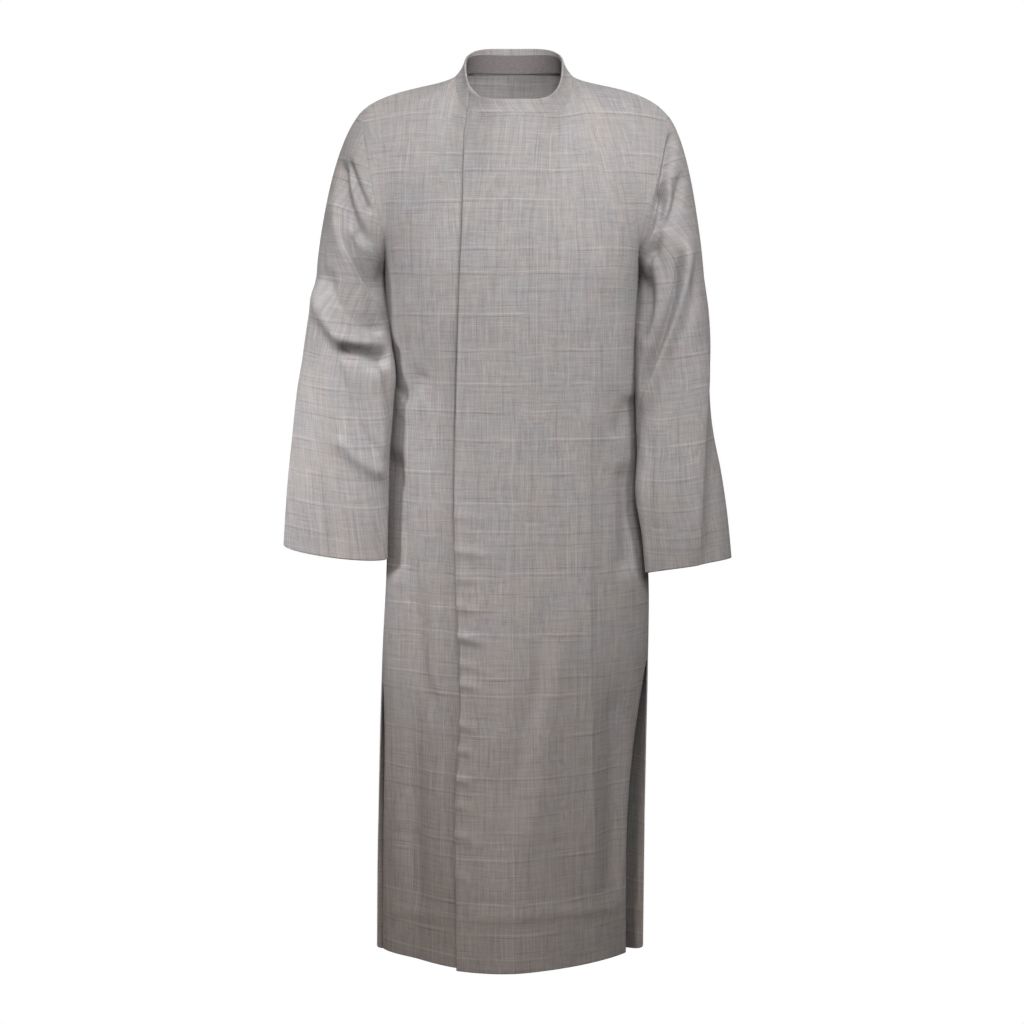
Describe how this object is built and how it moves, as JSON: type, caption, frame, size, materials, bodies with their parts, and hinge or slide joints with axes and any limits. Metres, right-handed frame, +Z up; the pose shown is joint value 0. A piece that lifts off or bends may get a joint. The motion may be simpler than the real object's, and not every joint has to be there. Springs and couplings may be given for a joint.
{
  "type": "qaba robe",
  "caption": "Long straight robe of light suiting, worn form: stand collar, lapped front with hidden fastening, set-in sleeves and side slits.",
  "frame": {"origin": "middle of the neck base, level with the inner ends of the shoulder seams, where the robe hangs from the wearer's shoulders", "axes": "+Z up, the front faces -Y, +X is the wearer's left"},
  "size_m": [0.6723, 0.2727, 1.376],
  "materials": {
    "suiting": "slubbed melange suiting, matt with a faint sheen",
    "collar_lining": "plain darker cloth, matt"
  },
  "bodies": {
    "root": {"back": "suiting", "front_over": "suiting", "front_under": "suiting", "sleeve_left": "suiting", "sleeve_right": "suiting", "collar_outer": "suiting", "collar_inner": "collar_lining"}
  },
  "joints": []
}
